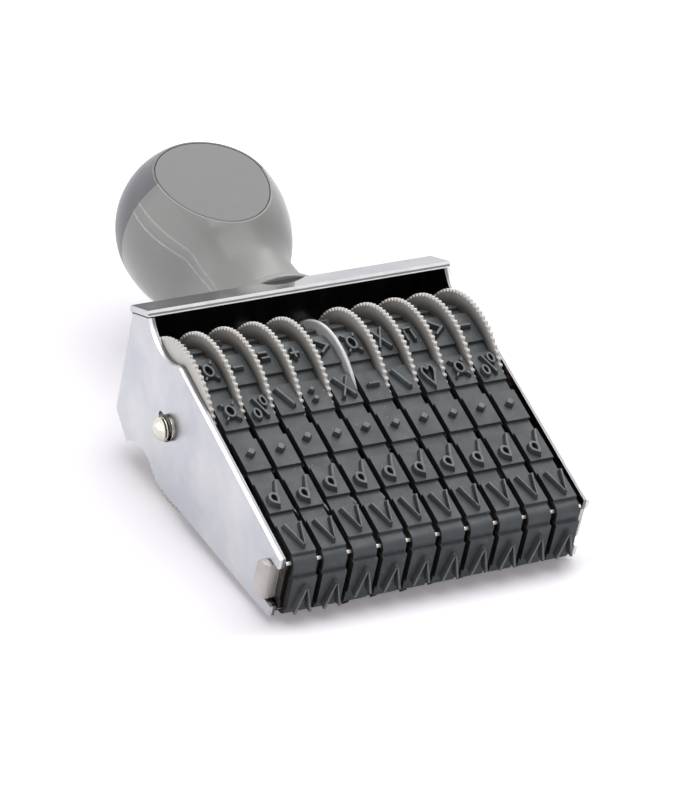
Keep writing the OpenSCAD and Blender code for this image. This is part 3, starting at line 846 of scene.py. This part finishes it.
# Softened copies of the CAD pieces
soften("frame", "bent_frame", plated_sheet, width=0.22, segments=3, others=(
    (shaded_inside_plating, faces_inwards), (shaded_lip_plating, on_a_lip), (plated_cut, is_cut_edge), (lip_cut, is_lip_end)))
soften("print_bar", "hooked_print_bar", bar_plating, width=0.15, others=(
    (bar_shade, is_shaded_bar), (glinting_bar_corner, is_bar_corner)))
soften("axle", "axle_pin", axle_plating, width=0.12, others=((groove_shade, is_groove),))
soften("axle_clip_left", "clip_left", clip_steel, width=0.08)
soften("axle_clip_right", "clip_right", clip_steel, width=0.08)
soften("handle_body", "ball_handle", handle_grey, width=0.18, smooth_angle=24)
soften("handle_cap", "ball_cap", cap_dark, width=0.15, smooth_angle=24)
soften("handle_badge", "egg_badge", badge_grey, width=0.3, segments=3)
soften("handle_screws", "foot_screws", screw_zinc, width=0.12)
for number in range(1, BAND_COUNT + 1):
    node = "band_%02d" % number
    soften(node, "rubber_" + node, band_rubber, width=0.13, others=((rubber_in_shade, is_band_side),))
    node = "wheel_%02d" % number
    plastic = lit_end_wheel_plastic if number == 1 else wheel_plastic
    soften(node, "knurled_" + node, plastic, width=0.19, segments=3, body=node)
soften("divider_disc", "smooth_disc", disc_plastic, width=0.1, body="centre_disc")

# Floor, lamps and camera. For the camera the floor glows, least near the stamp, where its shadow lies,
# more in front of the print end, and as white as the air behind it far away. Reaches are in metres.
SHADOW_REACH = 0.08
WHITE_REACH = 0.34
SHADOW_GLOW = 0.21
WHITE_GLOW = 1.0
# In front of the print end the floor glows more, a painted light over the stamp's shadow there
FRONT_START = -0.0635
FRONT_END = -0.0720
FRONT_GLOW = 0.28
MIRRORED_GLOW = 0.10  # what mirrors see of it


def floor_glow(tree):
    """How strongly the floor glows for the camera, and for mirrors."""
    rays = tree.nodes.new("ShaderNodeLightPath").outputs
    reach = tree.nodes.new("ShaderNodeVectorMath")
    reach.operation = "LENGTH"
    tree.links.new(object_place(tree), reach.inputs[0])
    far = map_range(tree, reach.outputs["Value"], SHADOW_REACH, WHITE_REACH, SHADOW_GLOW, WHITE_GLOW)
    front = map_range(
        tree, object_axes(tree)["Y"], FRONT_START, FRONT_END, 0.0, FRONT_GLOW, smooth=True)
    seen = math_node(tree, "MULTIPLY", rays["Is Camera Ray"], math_node(tree, "ADD", far, front))
    mirror_rays = math_node(tree, "MAXIMUM", rays["Is Glossy Ray"], rays["Is Transmission Ray"])
    mirrored = math_node(tree, "MULTIPLY", mirror_rays, MIRRORED_GLOW)
    return math_node(tree, "ADD", seen, mirrored)


def add_floor():
    bm = bmesh.new()
    bmesh.ops.create_grid(bm, x_segments=1, y_segments=1, size=6.0)
    mesh = bpy.data.meshes.new("studio_floor")
    bm.to_mesh(mesh)
    bm.free()
    material = bpy.data.materials.new("studio_white")
    material.use_nodes = True
    tree = material.node_tree
    surface = tree.nodes["Principled BSDF"]
    surface.inputs["Base Color"].default_value = (0.93, 0.93, 0.94, 1)
    surface.inputs["Roughness"].default_value = 0.9
    surface.inputs["Specular IOR Level"].default_value = 0.1
    surface.inputs["Emission Color"].default_value = (1.0, 0.94, 0.99, 1)
    tree.links.new(floor_glow(tree), surface.inputs["Emission Strength"])
    mesh.materials.append(material)
    floor = put_in_scene("studio_floor", mesh)


def add_world():
    """A dim, even light for the stamp, and plain white for the camera and for mirrors."""
    world = bpy.data.worlds.new("studio_air")
    world.use_nodes = True
    bpy.context.scene.world = world
    tree = world.node_tree
    ambient = tree.nodes["Background"]
    ambient.inputs["Color"].default_value = (0.93, 0.89, 1.0, 1)
    ambient.inputs["Strength"].default_value = 0.24
    white = tree.nodes.new("ShaderNodeBackground")
    white.inputs["Color"].default_value = (1, 1, 1, 1)
    white.inputs["Strength"].default_value = 1.0
    rays = tree.nodes.new("ShaderNodeLightPath").outputs
    seen = math_node(tree, "MAXIMUM", rays["Is Camera Ray"], rays["Is Glossy Ray"])
    seen = math_node(tree, "MAXIMUM", seen, rays["Is Transmission Ray"])
    mix = tree.nodes.new("ShaderNodeMixShader")
    tree.links.new(seen, mix.inputs[0])
    tree.links.new(ambient.outputs[0], mix.inputs[1])
    tree.links.new(white.outputs[0], mix.inputs[2])
    tree.links.new(mix.outputs[0], tree.nodes["World Output"].inputs["Surface"])


def add_lamp(name, place, aim, width, height, watts, colour=(1, 1, 1)):
    light = bpy.data.lights.new(name, "AREA")
    light.shape = "RECTANGLE"
    light.size = width
    light.size_y = height
    light.energy = watts
    light.color = colour
    lamp = put_in_scene(name, light)
    lamp.location = place
    lamp.rotation_euler = (Vector(aim) - Vector(place)).to_track_quat("-Z", "Y").to_euler()


def add_camera(lens, place, right, up):
    """The camera that fits the photo, given by its place and its right and up in the upright stamp."""
    camera_data = bpy.data.cameras.new("photo_camera")
    camera_data.lens = lens
    camera_data.sensor_width = 36.0
    camera_data.sensor_fit = "HORIZONTAL"
    camera_data.clip_start = 0.05
    camera = put_in_scene("photo_camera", camera_data)
    turn = Matrix((right, up, right.cross(up))).transposed().to_4x4()
    location, rotation, scale = (LAID_DOWN @ Matrix.Translation(place) @ turn).decompose()
    camera.location = location
    camera.rotation_euler = rotation.to_euler()
    bpy.context.scene.camera = camera


add_floor()
add_world()
add_lamp("back_panel", place=(0.57, 1.0, 0.70), aim=(0, 0, 0.03), width=1.0, height=0.5, watts=4.2,
         colour=(1.0, 0.995, 0.98))
add_lamp("top_panel", place=(0.15, 0.0, 1.35), aim=(0, 0, 0.02), width=1.6, height=1.6, watts=15.0)
add_lamp("left_panel", place=(-1.2, 0.0, 0.6), aim=(0, 0, 0.04), width=1.8, height=0.9, watts=2.6)
add_lamp("low_strip", place=(-1.1, 0.1, 0.045), aim=(0, 0.1, 0.045), width=2.6, height=0.018, watts=1.1)
add_lamp("high_strip", place=(-1.1, 0.1, 0.31), aim=(0, 0.1, 0.05), width=2.6, height=0.03, watts=1.0)
add_camera(
    lens=222.66, place=(-405.1, -578.7, -560.9),
    right=Vector((0.8844, -0.1678, -0.4356)), up=Vector((0.1594, -0.7686, 0.6196)))

scene = bpy.context.scene
scene.view_settings.view_transform = "Standard"
